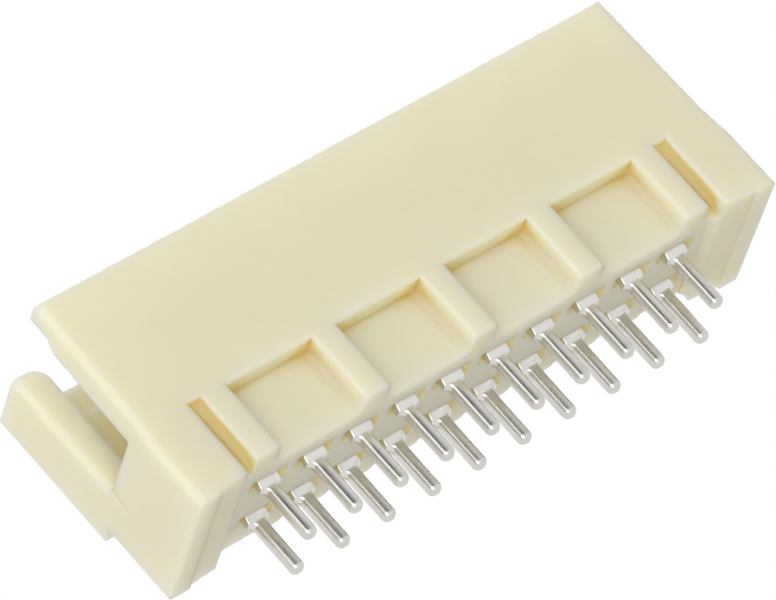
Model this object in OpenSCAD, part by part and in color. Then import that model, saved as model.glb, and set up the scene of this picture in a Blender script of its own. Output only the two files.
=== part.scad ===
// Twenty-way shrouded pin header for a circuit board.
// A moulded housing holds two rows of square-wire contacts.
// Their solder tails stand below it, their mating posts inside the shroud.
// X runs along the rows, -Y is the keyed near wall with the recesses, +Z is the mating direction.
// The origin is the middle of the contact field on the board surface, where the two feet sit.

/* [Contacts] */
// Number of contacts in each of the two rows
columns = 10; // [4:1:20]
// Spacing of the contacts along a row
pitch = 2.0; // [1.8:0.05:3]
// Spacing between the two rows
row_spacing = 2.0; // [1.8:0.05:2.2]
// Side of the square contact wire
wire = 0.5; // [0.4:0.01:0.6]
// Radius along the four edges of the wire
wire_edge = 0.13; // [0.05:0.01:0.18]
// Reach of the solder tails below the board seat
tail_reach = 1.98; // [1.5:0.02:4]
// Reach of the mating posts above the cavity floor
post_reach = 4.0; // [2:0.1:4.5]
// Radius of the rounded end of a tail
tail_round = 0.24; // [0.1:0.01:0.25]
// Length of the tapered end of a post
taper_h = 0.5; // [0.3:0.02:0.8]
// Radius that is left at the very end of a post
taper_end = 0.12; // [0.08:0.01:0.18]
// Width over the two wings that stop a contact in the housing
wing_w = 0.9; // [0.8:0.02:1.1]
// Height of the wings
wing_h = 0.72; // [0.4:0.02:1]
// Thickness of the wings, which are flush with the near face of the wire
wing_t = 0.26; // [0.2:0.01:0.4]
// Radius under a wing, where it runs into the tail
wing_round = 0.32; // [0.2:0.01:0.33]
// Amount by which the wings stand below the board face of the housing
wing_proud = 0.17; // [0.02:0.01:0.25]
// Clearance all round a contact in its passage through the housing
contact_gap = 0.02; // [0.01:0.005:0.04]

/* [Housing] */
// Distance from the last contact of a row to the end face
end_margin = 3.68; // [3.5:0.01:4.4]
// Distance from the middle of the rows to the outside of the near wall
near_depth = 3.15; // [3:0.01:3.6]
// Distance from the middle of the rows to the outside of the far wall
far_depth = 2.97; // [2.85:0.01:3.5]
// Height of the near wall above the board
near_top = 9.07; // [8.9:0.01:10]
// Height of the two end posts above the board
post_top = 8.82; // [8.6:0.01:8.9]
// Height of the far wall above the board
far_top = 8.4; // [8.2:0.01:8.6]
// Height of the cavity floor above the board
floor_z = 3.65; // [3.55:0.01:3.72]
// Half width of the cavity across the rows
cavity_y = 2.05; // [1.9:0.01:2.15]
// Thickness of an end post along the rows
post_t = 1.16; // [0.9:0.01:1.3]
// Distance from the middle of the rows to the near edge of an end post
post_y = 0.59; // [0.3:0.01:0.9]
// Radius on the inside top edge of an end post
post_round = 0.6; // [0.2:0.02:0.8]
// Radius of the upright edges on the near side
edge_round = 0.25; // [0.1:0.01:0.3]
// Radius of the upright edges on the far side
back_round = 0.12; // [0.05:0.01:0.2]

/* [Mating edge] */
// Thickness taken from the inside of a long wall at its rim
rim_relief = 0.34; // [0.2:0.01:0.5]
// Height of the thin rim of a long wall
rim_h = 0.89; // [0.5:0.01:1.2]
// Height of the slope from the thin rim to the full wall
rim_slope_h = 0.47; // [0.3:0.01:0.8]
// Radius along the outer top edge of the near wall
rim_round = 0.15; // [0.05:0.01:0.25]

/* [Base] */
// Height of the middle of the base above the board
standoff = 0.43; // [0.3:0.01:0.6]
// Length of a foot along the rows
foot_w = 2.15; // [1.6:0.01:2.3]
// Length of the board pad at the outer end of a foot
pad_w = 0.9; // [0.5:0.01:1.2]
// Step from the board pad up to the rest of the foot
foot_step = 0.1; // [0.05:0.01:0.14]
// Height of the foot above the board at its inner edge
foot_rise = 0.19; // [0.15:0.01:0.28]
// Length of the slope from there up to the middle of the base
foot_slope = 0.3; // [0.1:0.01:0.4]
// Radius along the lower edges of the board pads
foot_round = 0.12; // [0.05:0.01:0.2]
// Distance from the middle of the rows to the back of the base
back_y = 2.06; // [2:0.01:2.3]
// Distance from the middle of the rows to the back of a foot
foot_back_y = 2.36; // [2.3:0.01:2.6]
// Height of the underside of the far wall above the board
overhang_z = 3.22; // [2.9:0.01:3.4]
// Depth of the channels that run out from the far pockets
channel_h = 0.07; // [0.04:0.01:0.2]
// Width of the bars between those channels
bar_w = 0.84; // [0.7:0.01:1]
// Radius at the corners of a bar
bar_round = 0.25; // [0.1:0.01:0.34]
// Height at which the end faces start to lean in
lean_low_z = 2.5; // [2:0.01:2.8]
// Height at which the lean ends
lean_high_z = 3.76; // [3.74:0.01:4.2]
// Amount of the lean at each end
lean = 0.14; // [0.05:0.01:0.18]
// Draft of each end from there to the rim
draft = 0.1; // [0.02:0.01:0.15]

/* [Recesses] */
// Number of recesses in the near wall
recess_count = 4; // [1:1:6]
// Width of the ribs between the recesses
rib_w = 1.05; // [0.7:0.01:1.4]
// Depth of the recesses
recess_depth = 0.85; // [0.5:0.01:1]
// Height of the top of the recesses above the board
recess_top = 3.32; // [3:0.01:3.4]
// Radius in the inner corners of the recesses
recess_round = 0.25; // [0.1:0.01:0.4]
// Radius round the mouth of each recess and groove
mouth_round = 0.12; // [0.05:0.01:0.2]
// Width of the groove beside each foot
groove_w = 0.55; // [0.4:0.01:0.7]
// Height of the top of the grooves above the board
groove_top = 3.38; // [3:0.01:3.42]

/* [Pockets] */
// Length of the pocket round each pair of wings along the row
pocket_w = 1.6; // [1.3:0.01:1.7]
// Room in front of the wings in their pocket
pocket_front = 0.36; // [0.15:0.01:0.45]
// Radius in the corners of a pocket
pocket_round = 0.15; // [0.05:0.01:0.25]

/* [Hidden] */
$fn = 48;
over = 1;
row_y = row_spacing / 2;
first_x = -(columns - 1) * pitch / 2;
base_half = -first_x + end_margin;
shroud_half = base_half - lean;
rim_half = shroud_half - draft;
cavity_half = base_half - post_t;
foot_in = base_half - foot_w;
groove_in = foot_in - groove_w;
recess_pitch = (2 * groove_in - rib_w) / recess_count;
recess_w = recess_pitch - rib_w;
recess_floor_y = -near_depth + recess_depth;
wing_low = standoff - wing_proud;
seat_z = wing_low + wing_h;
passage = wire + 2 * contact_gap;
wire_corner = (wire / 2 - wire_edge) * sqrt(2) + wire_edge;
pad_in = base_half - pad_w;
slope_in = foot_in - foot_slope;
end_edge = [[base_half, 0], [base_half, lean_low_z], [shroud_half, lean_high_z], [rim_half, near_top]];
end_last = len(end_edge) - 1;
board_edge = [[pad_in, -over], [pad_in, foot_step], [foot_in, foot_rise], [slope_in, standoff]];
function two_digits(k) = str(k < 10 ? "0" : "", k);
function near_name(k) = str("contact_a", two_digits(k));
function far_name(k) = str("contact_b", two_digits(k));
function column_x(k) = first_x + (k - 1) * pitch;
function tilt(i) = atan2(end_edge[i + 1][0] - end_edge[i][0], end_edge[i + 1][1] - end_edge[i][1]);
function miter(i) = (tilt(max(i - 1, 0)) + tilt(min(i, end_last - 1))) / 2;
function across(i, d) = end_edge[i] + d * [cos(miter(i)), -sin(miter(i))];
function reflected(points) = [for (i = [len(points) - 1:-1:0]) [-points[i][0], points[i][1]]];

// A block from one corner to the opposite one
module block(low, high) {
    translate(low) cube(high - low);
}

// Both ends of the housing carry the same shape
module both_ends() {
    children();
    mirror([1, 0, 0]) children();
}

// The corner that a convex radius takes off, with the solid towards -X and +Y
module corner_waste(r) {
    difference() {
        translate([-r, -over]) square(r + over);
        translate([-r, r]) circle(r);
    }
}

// Rectangle with round corners, about its middle
module rounded(size, r) {
    square([size[0], size[1] - 2 * r], center = true);
    square([size[0] - 2 * r, size[1]], center = true);
    for (x = [-1, 1], y = [-1, 1])
        translate([x * (size[0] / 2 - r), y * (size[1] / 2 - r)]) circle(r);
}

// Outer form of the housing: the near body follows the end edge, the end posts stand upright
module outer_form() {
    translate([0, post_y, 0])
        rotate([90, 0, 0])
            linear_extrude(near_depth + post_y)
                polygon(concat(end_edge, reflected(end_edge)));
    block([-base_half, post_y, 0], [base_half, far_depth, post_top]);
}

// Radius along the near upright edge of one end: a stretch for each lean, mitred where two stretches meet
module near_edge_waste() {
    for (i = [0:end_last - 1])
        intersection() {
            translate([end_edge[i][0], -near_depth, end_edge[i][1]])
                rotate([0, tilt(i), 0])
                    translate([0, 0, -over])
                        linear_extrude(norm(end_edge[i + 1] - end_edge[i]) + 2 * over)
                            corner_waste(edge_round);
            rotate([90, 0, 0])
                linear_extrude(near_depth + over)
                    polygon([across(i, -over), across(i, over), across(i + 1, over), across(i + 1, -over)]);
        }
}

// Mating cavity with the lower far wall
module cavity() {
    block([-cavity_half, -cavity_y, floor_z], [cavity_half, cavity_y, near_top + over]);
    block([-cavity_half, 0, far_top], [cavity_half, far_depth + over, near_top + over]);
}

// Lead-in along a long wall: a thin rim and a slope, from the cavity side
module lead_in(top, half_length) {
    slope_top = top - rim_h;
    rotate([90, 0, 90])
        linear_extrude(2 * half_length, center = true)
            polygon([
                [0, slope_top - rim_slope_h],
                [cavity_y, slope_top - rim_slope_h],
                [cavity_y + rim_relief, slope_top],
                [cavity_y + rim_relief, top + over],
                [0, top + over]
            ]);
}

// Slot through one end, between the near wall and the end post
module end_slot() {
    block([cavity_half - over, -cavity_y, floor_z], [base_half + over, post_y, near_top + over]);
    translate([base_half, post_y, floor_z])
        linear_extrude(near_top)
            corner_waste(edge_round);
    translate([cavity_half + post_round, post_y - over, post_top - post_round])
        rotate([-90, 0, 0])
            linear_extrude(far_depth - post_y + 2 * over)
                difference() {
                    translate([-post_round - over, -post_round - over])
                        square(post_round + over);
                    circle(post_round);
                }
}

// Slot in the near wall, open towards the board
// Its plan and its side view are intersected, so that the radius of the mouth runs round three sides
module wall_slot(width, top, inner) {
    flat = width - 2 * inner;
    intersection() {
        translate([0, -near_depth, -over])
            linear_extrude(near_top) {
                translate([-width / 2, -over]) square([width, recess_depth + over - inner]);
                translate([-flat / 2, 0]) square([flat, recess_depth]);
                for (side = [-1, 1])
                    translate([side * flat / 2, recess_depth - inner]) circle(inner);
                difference() {
                    translate([-width / 2 - mouth_round, -over])
                        square([width + 2 * mouth_round, mouth_round + over]);
                    for (side = [-1, 1])
                        translate([side * (width / 2 + mouth_round), mouth_round]) circle(mouth_round);
                }
            }
        translate([0, -near_depth, 0])
            rotate([90, 0, 90])
                linear_extrude(width + 2 * over, center = true) {
                    translate([-over, -2 * over]) square([recess_depth + 2 * over, top + 2 * over]);
                    translate([0, top]) rotate(-90) corner_waste(mouth_round);
                }
    }
}

// Recesses between the feet and the narrow groove beside each foot
module near_slots() {
    for (i = [1:recess_count])
        translate([(i - (recess_count + 1) / 2) * recess_pitch, 0, 0])
            wall_slot(recess_w, recess_top, recess_round);
    both_ends()
        translate([groove_in + groove_w / 2, 0, 0])
            wall_slot(groove_w, groove_top, mouth_round);
}

// Space under the base: it rises from the board pads over the feet to the middle
module board_relief() {
    translate([0, far_depth + over, 0])
        rotate([90, 0, 0])
            linear_extrude(near_depth + far_depth + 2 * over)
                polygon(concat(board_edge, reflected(board_edge)));
    translate([0, -near_depth, standoff])
        rotate([0, 90, 0])
            linear_extrude(2 * groove_in, center = true)
                corner_waste(mouth_round);
}

// Radii along the lower edges of one board pad, at the end and at the near side
module pad_edge_waste() {
    translate([base_half, 0, 0])
        rotate([90, 0, 0])
            linear_extrude(2 * (near_depth + over), center = true)
                corner_waste(foot_round);
    translate([pad_in, -near_depth, 0])
        rotate([0, 90, 0])
            linear_extrude(pad_w + over)
                corner_waste(foot_round);
}

// Space under the overhanging far wall, deeper between the feet
module back_space() {
    block([-base_half - over, foot_back_y, -over], [base_half + over, far_depth + over, overhang_z]);
    block([-foot_in, back_y, -over], [foot_in, far_depth + over, overhang_z]);
}

// Radii on the far upright edges of one end: the foot below and the end post above
module far_edge_waste() {
    translate([base_half, foot_back_y, -over])
        linear_extrude(overhang_z + over)
            mirror([0, 1, 0]) corner_waste(back_round);
    translate([base_half, far_depth, overhang_z])
        linear_extrude(near_top)
            mirror([0, 1, 0]) corner_waste(back_round);
}

// Radius along the outer top edge of the near wall
module rim_edge_waste() {
    translate([0, -near_depth, near_top])
        rotate([0, -90, 0])
            linear_extrude(2 * (base_half + over), center = true)
                corner_waste(rim_round);
}

// Shallow channels from the far pockets to the back, with a bar between each two
module back_channels() {
    translate([0, 0, standoff - over])
        linear_extrude(channel_h + over)
            difference() {
                translate([-slope_in, row_y]) square([2 * slope_in, back_y - row_y + over]);
                for (k = [1:columns - 1])
                    translate([column_x(k) + pitch / 2, back_y / 2]) rounded([bar_w, back_y], bar_round);
            }
}

// Pocket for the wings and passage for the wire of one contact
module contact_seat() {
    front = -wire / 2 - pocket_front;
    back = wing_t - wire / 2 + contact_gap;
    translate([0, (front + back) / 2, -over])
        linear_extrude(seat_z + over)
            rounded([pocket_w, back - front], pocket_round);
    translate([0, 0, near_top / 2])
        cube([passage, passage, near_top], center = true);
}

module housing() {
    color("ivory")
        difference() {
            outer_form();
            cavity();
            rim_edge_waste();
            mirror([0, 1, 0]) lead_in(near_top, base_half + over);
            lead_in(far_top, cavity_half);
            both_ends() {
                near_edge_waste();
                end_slot();
                pad_edge_waste();
                far_edge_waste();
            }
            near_slots();
            board_relief();
            back_space();
            back_channels();
            for (k = [1:columns], side = [-1, 1])
                translate([column_x(k), side * row_y, 0]) contact_seat();
        }
}

// Turned envelope that rounds the tail end and tapers the post end
module point_envelope() {
    post_end = floor_z + post_reach;
    rotate_extrude()
        intersection() {
            translate([0, -tail_reach]) square([wire_corner, tail_reach + post_end]);
            union() {
                translate([wire_corner - tail_round, tail_round - tail_reach]) circle(tail_round);
                translate([0, -tail_reach]) square([wire_corner - tail_round, tail_round]);
                polygon([
                    [0, tail_round - tail_reach],
                    [wire_corner, tail_round - tail_reach],
                    [wire_corner, post_end - taper_h],
                    [taper_end, post_end],
                    [0, post_end]
                ]);
            }
        }
}

// Thin wings on the near side of the wire, with a hollow radius down to the tail on both sides
module wings() {
    neck = wire / 2 - wire_edge;
    hollow = min(wing_round, wing_w / 2 - neck);
    translate([0, wing_t - wire / 2, 0])
        rotate([90, 0, 0])
            linear_extrude(wing_t) {
                translate([-wing_w / 2, wing_low]) square([wing_w, wing_h]);
                difference() {
                    translate([-neck - hollow, wing_low - hollow]) square([2 * (neck + hollow), hollow]);
                    for (side = [-1, 1])
                        translate([side * (neck + hollow), wing_low - hollow]) circle(hollow);
                }
            }
}

// One contact: square wire, rounded below and tapered above, with its wings in the pocket
module contact() {
    color("gainsboro")
        union() {
            intersection() {
                translate([0, 0, -tail_reach])
                    linear_extrude(tail_reach + floor_z + post_reach) rounded([wire, wire], wire_edge);
                point_envelope();
            }
            wings();
        }
}

housing();
for (k = [1:columns]) {
    translate([column_x(k), -row_y, 0]) contact();
    translate([column_x(k), row_y, 0]) contact();
}
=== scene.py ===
import math

import bmesh
import bpy
from mathutils import Matrix, Vector


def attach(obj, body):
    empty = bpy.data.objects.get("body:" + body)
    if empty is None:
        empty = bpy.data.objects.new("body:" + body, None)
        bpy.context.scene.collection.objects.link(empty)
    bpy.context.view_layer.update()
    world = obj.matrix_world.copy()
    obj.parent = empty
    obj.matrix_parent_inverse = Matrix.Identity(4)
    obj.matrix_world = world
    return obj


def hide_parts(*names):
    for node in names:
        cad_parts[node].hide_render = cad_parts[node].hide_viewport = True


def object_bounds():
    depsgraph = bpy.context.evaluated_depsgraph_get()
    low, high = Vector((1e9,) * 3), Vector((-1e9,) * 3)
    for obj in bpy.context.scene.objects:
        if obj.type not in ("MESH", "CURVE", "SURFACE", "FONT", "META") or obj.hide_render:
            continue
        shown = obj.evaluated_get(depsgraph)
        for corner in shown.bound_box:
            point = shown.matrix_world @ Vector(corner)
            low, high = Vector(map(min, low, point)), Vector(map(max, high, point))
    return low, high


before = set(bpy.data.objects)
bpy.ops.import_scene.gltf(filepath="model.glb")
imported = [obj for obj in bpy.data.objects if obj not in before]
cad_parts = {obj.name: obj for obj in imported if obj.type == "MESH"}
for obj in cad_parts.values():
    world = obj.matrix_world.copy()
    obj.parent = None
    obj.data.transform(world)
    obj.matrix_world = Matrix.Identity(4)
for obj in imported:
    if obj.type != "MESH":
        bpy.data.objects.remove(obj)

cad_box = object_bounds()


# Housing: one injection moulding in natural ivory nylon, with satin walls straight from the polished mould.
# The plastic lets light in for a millimetre or two, so its edges are soft. Its inner corners get a painted golden
# shade and its deep pockets a painted glow, both laid on by an occlusion mask in place of light passing through
# the plastic.
IVORY = (0.765, 0.715, 0.535, 1.0)
IVORY_PALE = (0.800, 0.755, 0.585, 1.0)
IVORY_CLOUD_SCALE = 420.0
IVORY_GRAIN_SCALE = 9000.0
IVORY_ROUGHNESS = (0.42, 0.58)
IVORY_GLEAM = 0.3
MOULD_GRAIN = 0.06
MOULD_GRAIN_DEPTH = 0.00002
EDGE_RADIUS = 0.00020
LIGHT_REACH = 0.0020
LIGHT_REACH_SHARES = (1.0, 0.85, 0.60)
CORNER_REACH = 0.0020
# Painted golden shade, mixed into the colour of inner corners, creases and pockets.
PAINTED_SHADE_GOLDEN = (0.670, 0.487, 0.065, 1.0)
# How strongly the painted golden shade tints the plastic at each openness, from 0 in a closed pocket to 1 on a
# free wall.
PAINTED_SHADE_SHARES = ((0.0, 0.18), (0.22, 0.24), (0.33, 0.95), (0.41, 0.85), (0.50, 0.17), (0.66, 0.0))
DARK = (0.0, 0.0, 0.0, 1.0)
# Painted glow of the deep pockets, given off as emission.
PAINTED_POCKET_GLOW = (0.112, 0.107, 0.070, 1.0)
PAINTED_GLOW_OPENNESS = (0.45, 0.08)
WHOLE = (0.0, 1.0)
# The sockets of a Mix node that is set to colour.
MIX_SHARE, MIX_LOW, MIX_HIGH, MIX_RESULT = 0, 6, 7, 2


def add_node(tree, kind, place, **values):
    """Adds a node. Each value sets the node's property of that name, or else its input."""
    node = tree.nodes.new(kind)
    node.location = place
    for name, value in values.items():
        if hasattr(node, name):
            setattr(node, name, value)
        else:
            node.inputs[name.replace("_", " ")].default_value = value
    return node


def remap(tree, place, value, given, wanted):
    """Takes a value from one range to another, and holds it at the ends."""
    node = add_node(tree, "ShaderNodeMapRange", place, From_Min=given[0], From_Max=given[1],
                    To_Min=wanted[0], To_Max=wanted[1])
    tree.links.new(value, node.inputs["Value"])
    return node.outputs["Result"]


def mix_colours(tree, place, share, low, high):
    """Mixes two colours by a share. The low one is written out or comes from another node."""
    node = add_node(tree, "ShaderNodeMix", place, data_type="RGBA")
    tree.links.new(share, node.inputs[MIX_SHARE])
    if isinstance(low, tuple):
        node.inputs[MIX_LOW].default_value = low
    else:
        tree.links.new(low, node.inputs[MIX_LOW])
    node.inputs[MIX_HIGH].default_value = high
    return node.outputs[MIX_RESULT]


def uneven_surface():
    """Soft unevenness of a made surface: a slow cloud for the tone and a fine grain for the relief."""
    group = bpy.data.node_groups.new("uneven_surface", "ShaderNodeTree")
    for name, kind in (("Vector", "NodeSocketVector"), ("Cloud Scale", "NodeSocketFloat"),
                       ("Grain Scale", "NodeSocketFloat")):
        group.interface.new_socket(name, in_out="INPUT", socket_type=kind)
    for name in ("Cloud", "Grain"):
        group.interface.new_socket(name, in_out="OUTPUT", socket_type="NodeSocketFloat")
    came_in = add_node(group, "NodeGroupInput", (-500, 0))
    goes_out = add_node(group, "NodeGroupOutput", (300, 0))
    cloud = add_node(group, "ShaderNodeTexNoise", (-200, 120), Detail=3.0, Roughness=0.55)
    grain = add_node(group, "ShaderNodeTexNoise", (-200, -160), Detail=4.0, Roughness=0.6)
    for noise, scale, result in ((cloud, "Cloud Scale", "Cloud"), (grain, "Grain Scale", "Grain")):
        group.links.new(came_in.outputs["Vector"], noise.inputs["Vector"])
        group.links.new(came_in.outputs[scale], noise.inputs["Scale"])
        group.links.new(noise.outputs["Fac"], goes_out.inputs[result])
    return group


surface_group = uneven_surface()


def new_material(name, **values):
    """A material with one Principled shader, whose inputs take the values."""
    material = bpy.data.materials.new(name)
    material.use_nodes = True
    tree = material.node_tree
    tree.nodes.clear()
    shader = add_node(tree, "ShaderNodeBsdfPrincipled", (600, 0), **values)
    output = add_node(tree, "ShaderNodeOutputMaterial", (900, 0))
    tree.links.new(shader.outputs["BSDF"], output.inputs["Surface"])
    return material, tree, shader


def ivory_moulding():
    material, tree, shader = new_material(
        "ivory_moulding", Specular_IOR_Level=IVORY_GLEAM, Emission_Strength=1.0, Subsurface_Weight=1.0,
        Subsurface_Radius=LIGHT_REACH_SHARES, Subsurface_Scale=LIGHT_REACH)
    link = tree.links.new
    place = add_node(tree, "ShaderNodeTexCoord", (-1200, 0))
    uneven = add_node(tree, "ShaderNodeGroup", (-700, 0), node_tree=surface_group,
                      Cloud_Scale=IVORY_CLOUD_SCALE, Grain_Scale=IVORY_GRAIN_SCALE)
    link(place.outputs["Object"], uneven.inputs["Vector"])
    tone = mix_colours(tree, (-300, 200), uneven.outputs["Cloud"], IVORY, IVORY_PALE)
    # Painted shade: the occlusion openness tints the plastic golden in corners, creases and pockets.
    openness = add_node(tree, "ShaderNodeAmbientOcclusion", (-700, 400), samples=8, Distance=CORNER_REACH)
    corner = add_node(tree, "ShaderNodeValToRGB", (-400, 450))
    stops = corner.color_ramp.elements
    stops.remove(stops[1])
    for number, (at, share) in enumerate(PAINTED_SHADE_SHARES):
        stop = stops.new(at) if number else stops[0]
        stop.color = (share, share, share, 1.0)
    link(openness.outputs["AO"], corner.inputs["Fac"])
    shaded_tone = mix_colours(tree, (0, 200), corner.outputs["Color"], tone, PAINTED_SHADE_GOLDEN)
    link(shaded_tone, shader.inputs["Base Color"])
    # Painted glow: deep pockets, found by the openness, give off a faint golden light in place of light passing
    # through the plastic.
    painted_glow_share = remap(tree, (-400, 750), openness.outputs["AO"], PAINTED_GLOW_OPENNESS, WHOLE)
    painted_glow = mix_colours(tree, (0, 450), painted_glow_share, DARK, PAINTED_POCKET_GLOW)
    link(painted_glow, shader.inputs["Emission Color"])
    gloss = remap(tree, (0, -100), uneven.outputs["Cloud"], WHOLE, IVORY_ROUGHNESS)
    link(gloss, shader.inputs["Roughness"])
    edge = add_node(tree, "ShaderNodeBevel", (0, -350), samples=6, Radius=EDGE_RADIUS)
    relief = add_node(tree, "ShaderNodeBump", (300, -300), Strength=MOULD_GRAIN, Distance=MOULD_GRAIN_DEPTH)
    link(uneven.outputs["Grain"], relief.inputs["Height"])
    link(edge.outputs["Normal"], relief.inputs["Normal"])
    link(relief.outputs["Normal"], shader.inputs["Normal"])
    return material


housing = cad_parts["housing"]
housing.data.materials.clear()
housing.data.materials.append(ivory_moulding())


# Contacts: twenty lengths of square tinned wire in two rows, pressed into the housing from the board side.
# The wire is drawn with round edges and its tail end is coined to a dome; two thin wings are squeezed out of
# its near side and stop it in its pocket. The tin is bright and a little uneven from the dip, with painted light
# that brightens it at the wings and shades it towards the tail's end.
COLUMNS = 10
PITCH = 0.0020
ROW_SPACING = 0.0020
TURN = math.radians(0.8)
TURN_SEED = 7
WIRE_HALF = 0.00025
WIRE_SQUARENESS = 3.4
WIRE_CORNER = 0.00030
WIRE_CORNER_STEPS = 7
TAIL_END = -0.00198
TAIL_DOME = 0.00024
TAIL_DOME_STEPS = 8
NECK_HOLLOW = 0.00020
NECK_HOLLOW_STEPS = 6
WING_LOW = 0.00026
WING_HIGH = 0.00098
WING_HALF = 0.00045
WING_BACK = 0.00001
WING_EDGE = 0.00006
WING_LEAN = 0.00014
WING_LEAN_HEIGHT = 0.00036
POST_TAPER = 0.00715
POST_END = 0.00765
POST_TIP = 0.4
MERGE_DISTANCE = 1e-7
CREASE = math.radians(50)
TIN = (0.75, 0.735, 0.70, 1.0)
# Darker tin for both the dip's cloudy unevenness and the painted shade towards the tail's end.
TIN_DULL_AND_SHADED = (0.58, 0.57, 0.535, 1.0)
TIN_CLOUD_SCALE = 2600.0
TIN_GRAIN_SCALE = 9000.0
TIN_DRAWN = (1.0, 1.0, 0.25)
TIN_ROUGHNESS = (0.22, 0.36)
DIP_RELIEF = 0.12
DIP_RELIEF_DEPTH = 0.00004


def wire_section(share, size, height, forward=0.0):
    """One ring of the contact, from crowned square wire (share 0) to the wire with its full wings (share 1)."""
    ring = []
    for quarter, side, turn in ((0, -1, 180), (1, 1, 270), (2, 1, 0), (3, -1, 90)):
        for step in range(WIRE_CORNER_STEPS):
            angle = math.radians(turn + 90 * (step + 0.5) / WIRE_CORNER_STEPS)
            c, s = math.cos(angle), math.sin(angle)
            x = WIRE_HALF * math.copysign(abs(c) ** (2 / WIRE_SQUARENESS), c)
            y = WIRE_HALF * math.copysign(abs(s) ** (2 / WIRE_SQUARENESS), s)
            if quarter < 2:
                wide = side * (WING_HALF - WING_EDGE) + WING_EDGE * c
                flat = WING_EDGE - WIRE_HALF - forward + WING_EDGE * s
                x, y = x + (wide - x) * share, y + (flat - y) * share
            ring.append((x, y))
        if quarter == 1:
            ring += [(WIRE_HALF + (WING_HALF - WIRE_HALF) * share, WING_BACK), (WIRE_HALF, WING_BACK)]
    ring += [(-WIRE_HALF, WING_BACK), (-WIRE_HALF - (WING_HALF - WIRE_HALF) * share, WING_BACK)]
    return [(x * size, y * size, height) for x, y in ring]


def contact_mesh():
    """One contact, skinned over its rings from the tail's dome up to the post's tip."""
    rings = []
    for step in range(TAIL_DOME_STEPS + 1):
        angle = math.radians(90 * step / TAIL_DOME_STEPS)
        size = (WIRE_CORNER - TAIL_DOME + TAIL_DOME * math.sin(angle)) / WIRE_CORNER
        rings.append(wire_section(0.0, size, TAIL_END + TAIL_DOME * (1 - math.cos(angle))))
    for step in range(NECK_HOLLOW_STEPS + 1):
        angle = math.radians(90 * step / NECK_HOLLOW_STEPS)
        rings.append(wire_section(1 - math.cos(angle), 1.0,
                                  WING_LOW - NECK_HOLLOW + NECK_HOLLOW * math.sin(angle)))
    rings.append(wire_section(1.0, 1.0, WING_LOW + WING_LEAN_HEIGHT, WING_LEAN))
    rings.append(wire_section(1.0, 1.0, WING_HIGH, WING_LEAN))
    rings.append(wire_section(0.0, 1.0, WING_HIGH))
    rings.append(wire_section(0.0, 1.0, POST_TAPER))
    rings.append(wire_section(0.0, POST_TIP, POST_END))
    form = bmesh.new()
    loops = [[form.verts.new(point) for point in ring] for ring in rings]
    count = len(loops[0])
    for low, high in zip(loops, loops[1:]):
        for k in range(count):
            form.faces.new((low[k], low[(k + 1) % count], high[(k + 1) % count], high[k]))
    form.faces.new(loops[0][::-1])
    form.faces.new(loops[-1])
    bmesh.ops.remove_doubles(form, verts=form.verts, dist=MERGE_DISTANCE)
    bmesh.ops.recalc_face_normals(form, faces=form.faces)
    mesh = bpy.data.meshes.new("contact")
    form.to_mesh(mesh)
    form.free()
    return mesh


def contact_rows():
    """Lays one contact out in two rows, each turned a little in its passage."""
    tree = bpy.data.node_groups.new("contact_rows", "GeometryNodeTree")
    sockets = {}
    for name, kind in (("Geometry", "NodeSocketGeometry"), ("Columns", "NodeSocketInt"),
                       ("Pitch", "NodeSocketFloat"), ("Row Spacing", "NodeSocketFloat"),
                       ("Turn", "NodeSocketFloat"), ("Seed", "NodeSocketInt"),
                       ("Finish", "NodeSocketMaterial")):
        sockets[name] = tree.interface.new_socket(name, in_out="INPUT", socket_type=kind).identifier
    tree.interface.new_socket("Geometry", in_out="OUTPUT", socket_type="NodeSocketGeometry")
    came_in = add_node(tree, "NodeGroupInput", (-1000, 0))
    goes_out = add_node(tree, "NodeGroupOutput", (800, 0))
    spaces = add_node(tree, "ShaderNodeMath", (-800, 300), operation="SUBTRACT")
    spaces.inputs[1].default_value = 1.0
    length = add_node(tree, "ShaderNodeMath", (-600, 300), operation="MULTIPLY")
    grid = add_node(tree, "GeometryNodeMeshGrid", (-400, 200), Vertices_Y=2)
    least = add_node(tree, "ShaderNodeMath", (-800, -300), operation="MULTIPLY")
    least.inputs[1].default_value = -1.0
    turn = add_node(tree, "FunctionNodeRandomValue", (-600, -250), data_type="FLOAT")
    upright = add_node(tree, "ShaderNodeCombineXYZ", (-400, -250))
    lay = add_node(tree, "GeometryNodeInstanceOnPoints", (-100, 100))
    solid = add_node(tree, "GeometryNodeRealizeInstances", (200, 100))
    finish = add_node(tree, "GeometryNodeSetMaterial", (500, 100))
    link = tree.links.new
    link(came_in.outputs["Columns"], spaces.inputs[0])
    link(spaces.outputs[0], length.inputs[0])
    link(came_in.outputs["Pitch"], length.inputs[1])
    link(length.outputs[0], grid.inputs["Size X"])
    link(came_in.outputs["Row Spacing"], grid.inputs["Size Y"])
    link(came_in.outputs["Columns"], grid.inputs["Vertices X"])
    link(came_in.outputs["Turn"], least.inputs[0])
    link(least.outputs[0], turn.inputs[2])
    link(came_in.outputs["Turn"], turn.inputs[3])
    link(came_in.outputs["Seed"], turn.inputs["Seed"])
    link(turn.outputs[1], upright.inputs["Z"])
    link(grid.outputs["Mesh"], lay.inputs["Points"])
    link(came_in.outputs["Geometry"], lay.inputs["Instance"])
    link(upright.outputs["Vector"], lay.inputs["Rotation"])
    link(lay.outputs["Instances"], solid.inputs["Geometry"])
    link(solid.outputs["Geometry"], finish.inputs["Geometry"])
    link(came_in.outputs["Finish"], finish.inputs["Material"])
    link(finish.outputs["Geometry"], goes_out.inputs["Geometry"])
    return tree, sockets


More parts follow.
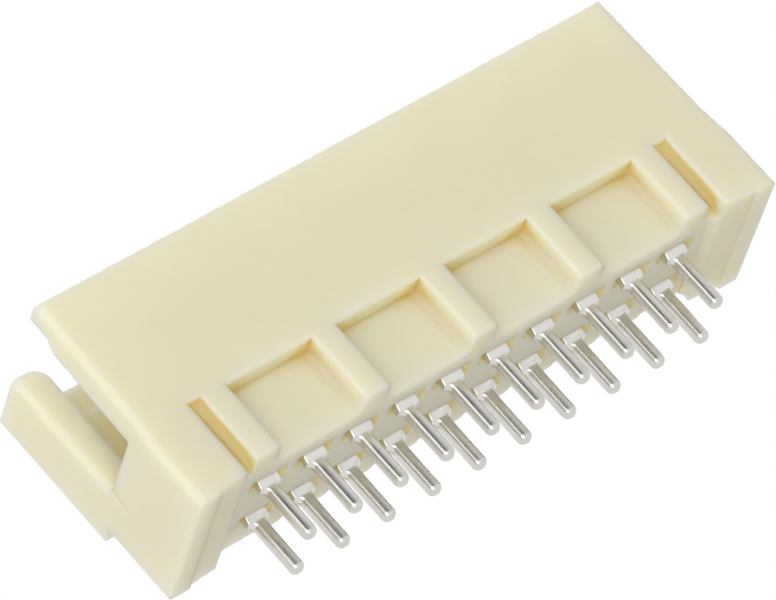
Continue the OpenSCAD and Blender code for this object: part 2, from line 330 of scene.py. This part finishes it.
def tinned_wire():
    """Tin with painted light, brighter up at the wings and darker towards the tail's end, cloudy along the drawn
    wire.
    """
    material, tree, shader = new_material("tinned_wire", Metallic=1.0)
    link = tree.links.new
    place = add_node(tree, "ShaderNodeTexCoord", (-1200, 0))
    along = add_node(tree, "ShaderNodeMapping", (-950, 0), Scale=TIN_DRAWN)
    uneven = add_node(tree, "ShaderNodeGroup", (-700, 0), node_tree=surface_group,
                      Cloud_Scale=TIN_CLOUD_SCALE, Grain_Scale=TIN_GRAIN_SCALE)
    link(place.outputs["Object"], along.inputs["Vector"])
    link(along.outputs["Vector"], uneven.inputs["Vector"])
    up_wire = add_node(tree, "ShaderNodeSeparateXYZ", (-950, 300))
    link(place.outputs["Object"], up_wire.inputs["Vector"])
    # Painted light: the tin is shaded towards the tail's end and brightened up at the wings, standing in for what
    # it reflects there.
    shade_towards_tip = remap(tree, (-700, 300), up_wire.outputs["Z"], (TAIL_END, WING_LOW), WHOLE)
    both = add_node(tree, "ShaderNodeMath", (-500, 300), operation="ADD")
    half_tone = add_node(tree, "ShaderNodeMath", (-400, 300), operation="MULTIPLY")
    half_tone.inputs[1].default_value = 0.5
    link(shade_towards_tip, both.inputs[0])
    link(uneven.outputs["Cloud"], both.inputs[1])
    link(both.outputs[0], half_tone.inputs[0])
    tone = mix_colours(tree, (-300, 200), half_tone.outputs[0], TIN_DULL_AND_SHADED, TIN)
    link(tone, shader.inputs["Base Color"])
    gloss = remap(tree, (0, -100), uneven.outputs["Grain"], WHOLE, TIN_ROUGHNESS)
    link(gloss, shader.inputs["Roughness"])
    relief = add_node(tree, "ShaderNodeBump", (300, -300), Strength=DIP_RELIEF, Distance=DIP_RELIEF_DEPTH)
    link(uneven.outputs["Cloud"], relief.inputs["Height"])
    link(relief.outputs["Normal"], shader.inputs["Normal"])
    return material


contacts = bpy.data.objects.new("contacts", contact_mesh())
bpy.context.scene.collection.objects.link(contacts)
rows_tree, sockets = contact_rows()
rows = contacts.modifiers.new("rows", "NODES")
rows.node_group = rows_tree
for name, value in (("Columns", COLUMNS), ("Pitch", PITCH), ("Row Spacing", ROW_SPACING), ("Turn", TURN),
                    ("Seed", TURN_SEED), ("Finish", tinned_wire())):
    rows[sockets[name]] = value
evaluated = contacts.evaluated_get(bpy.context.evaluated_depsgraph_get())
laid_out = bpy.data.meshes.new_from_object(evaluated)
contacts.modifiers.remove(rows)
contacts.data = laid_out
laid_out.polygons.foreach_set("use_smooth", [True] * len(laid_out.polygons))
laid_out.set_sharp_from_angle(angle=CREASE)
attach(contacts, "root")
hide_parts(*[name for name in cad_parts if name.startswith("contact_")])


# Studio: a plain pale floor under the tails, clear from below, and a white surround that gives more light from
# the left end. A soft key lamp stands before the near wall and a weaker one behind the far right end. A dark card
# in front, which only reflections show, gives the tin its dark lines.
FLOOR_HALF = 0.3
FLOOR_WHITE = (0.86, 0.86, 0.86, 1.0)
FLOOR_ROUGHNESS = 0.8
CARD_TOWARDS = Vector((0.14, -0.93, 0.32)).normalized()
CARD_AWAY = 0.30
CARD_WIDTH = 0.20
CARD_HEIGHT = 0.16
CARD_DARK = (0.03, 0.03, 0.03, 1.0)
CARD_ROUGHNESS = 0.9
SURROUND_LEFT_TO_RIGHT = (0.83, 0.31)
CAMERA_RIGHT = Vector((0.74921, -0.21202, -0.62748))
CAMERA_UP = Vector((0.41561, -0.58715, 0.69464))
CAMERA_BACK = Vector((-0.51570, -0.78122, -0.35179))
CAMERA_PLACE = Vector((-0.16834, -0.25498, -0.11028))
CAMERA_LENS = 456.05
CAMERA_SENSOR = 36.0
CAMERA_REACH = (0.01, 10.0)
LAMP_SIZE = 0.40
LAMP_AWAY = 0.40
LAMPS = (("key_lamp", Vector((-0.47, -0.84, -0.27)), 0.86), ("back_lamp", Vector((0.65, 0.45, 0.62)), 0.75))
CORNERS = ((-1, -1), (1, -1), (1, 1), (-1, 1))


def stage_plate(name, points, colour, roughness):
    """A flat plate of the studio in matt paint."""
    mesh = bpy.data.meshes.new(name)
    mesh.from_pydata(points, [], [(0, 1, 2, 3)])
    paint, tree, shader = new_material(name + "_paint", Base_Color=colour, Roughness=roughness)
    mesh.materials.append(paint)
    plate = bpy.data.objects.new(name, mesh)
    bpy.context.scene.collection.objects.link(plate)
    return plate, tree, shader


lowest = cad_box[0][2]
floor, tree, shader = stage_plate("floor", [(x * FLOOR_HALF, y * FLOOR_HALF, lowest) for x, y in CORNERS],
                                  FLOOR_WHITE, FLOOR_ROUGHNESS)
behind = add_node(tree, "ShaderNodeNewGeometry", (300, 300))
clear = add_node(tree, "ShaderNodeBsdfTransparent", (600, 200))
either = add_node(tree, "ShaderNodeMixShader", (800, 200))
tree.links.new(behind.outputs["Backfacing"], either.inputs["Fac"])
tree.links.new(shader.outputs["BSDF"], either.inputs[1])
tree.links.new(clear.outputs["BSDF"], either.inputs[2])
tree.links.new(either.outputs["Shader"], tree.nodes["Material Output"].inputs["Surface"])
floor.visible_diffuse = False
floor.visible_glossy = False
floor.visible_shadow = False

card_right = CARD_TOWARDS.cross(Vector((0, 0, 1))).normalized()
card_up = card_right.cross(CARD_TOWARDS)
card, _, _ = stage_plate(
    "dark_card",
    [CARD_TOWARDS * CARD_AWAY + card_right * CARD_WIDTH / 2 * x + card_up * CARD_HEIGHT / 2 * y
     for x, y in CORNERS],
    CARD_DARK, CARD_ROUGHNESS)
card.visible_camera = False
card.visible_diffuse = False
card.visible_transmission = False
card.visible_shadow = False

world = bpy.data.worlds.new("white_surround")
bpy.context.scene.world = world
world.use_nodes = True
tree = world.node_tree
tree.nodes.clear()
path = add_node(tree, "ShaderNodeLightPath", (-600, 0))
seen = add_node(tree, "ShaderNodeMath", (-350, 0), operation="MAXIMUM")
seen_too = add_node(tree, "ShaderNodeMath", (-150, 0), operation="MAXIMUM")
towards = add_node(tree, "ShaderNodeTexCoord", (-600, -300))
along_rows = add_node(tree, "ShaderNodeSeparateXYZ", (-350, -300))
level = add_node(tree, "ShaderNodeMix", (50, 0), data_type="FLOAT", B=1.0)
light = add_node(tree, "ShaderNodeBackground", (250, 0), Color=(1.0, 1.0, 1.0, 1.0))
result = add_node(tree, "ShaderNodeOutputWorld", (450, 0))
tree.links.new(path.outputs["Is Camera Ray"], seen.inputs[0])
tree.links.new(path.outputs["Is Glossy Ray"], seen.inputs[1])
tree.links.new(seen.outputs[0], seen_too.inputs[0])
tree.links.new(path.outputs["Is Transmission Ray"], seen_too.inputs[1])
tree.links.new(seen_too.outputs[0], level.inputs["Factor"])
tree.links.new(towards.outputs["Generated"], along_rows.inputs["Vector"])
ambient = remap(tree, (-150, -300), along_rows.outputs["X"], (-1.0, 1.0), SURROUND_LEFT_TO_RIGHT)
tree.links.new(ambient, level.inputs["A"])
tree.links.new(level.outputs["Result"], light.inputs["Strength"])
tree.links.new(light.outputs["Background"], result.inputs["Surface"])

camera_data = bpy.data.cameras.new("photo_camera")
camera_data.lens = CAMERA_LENS
camera_data.sensor_width = CAMERA_SENSOR
camera_data.sensor_fit = "HORIZONTAL"
camera_data.clip_start, camera_data.clip_end = CAMERA_REACH
camera = bpy.data.objects.new("photo_camera", camera_data)
camera_turn = Matrix((CAMERA_RIGHT, CAMERA_UP, CAMERA_BACK)).transposed()
camera.matrix_world = Matrix.Translation(CAMERA_PLACE) @ camera_turn.to_4x4()
bpy.context.scene.collection.objects.link(camera)
bpy.context.scene.camera = camera

for name, towards_lamp, energy in LAMPS:
    lamp_data = bpy.data.lights.new(name, "AREA")
    lamp_data.shape = "DISK"
    lamp_data.size = LAMP_SIZE
    lamp_data.energy = energy
    lamp = bpy.data.objects.new(name, lamp_data)
    lamp.matrix_world = (Matrix.Translation(towards_lamp.normalized() * LAMP_AWAY)
                         @ towards_lamp.to_track_quat("Z", "Y").to_matrix().to_4x4())
    bpy.context.scene.collection.objects.link(lamp)

bpy.context.scene.view_settings.view_transform = "Standard"
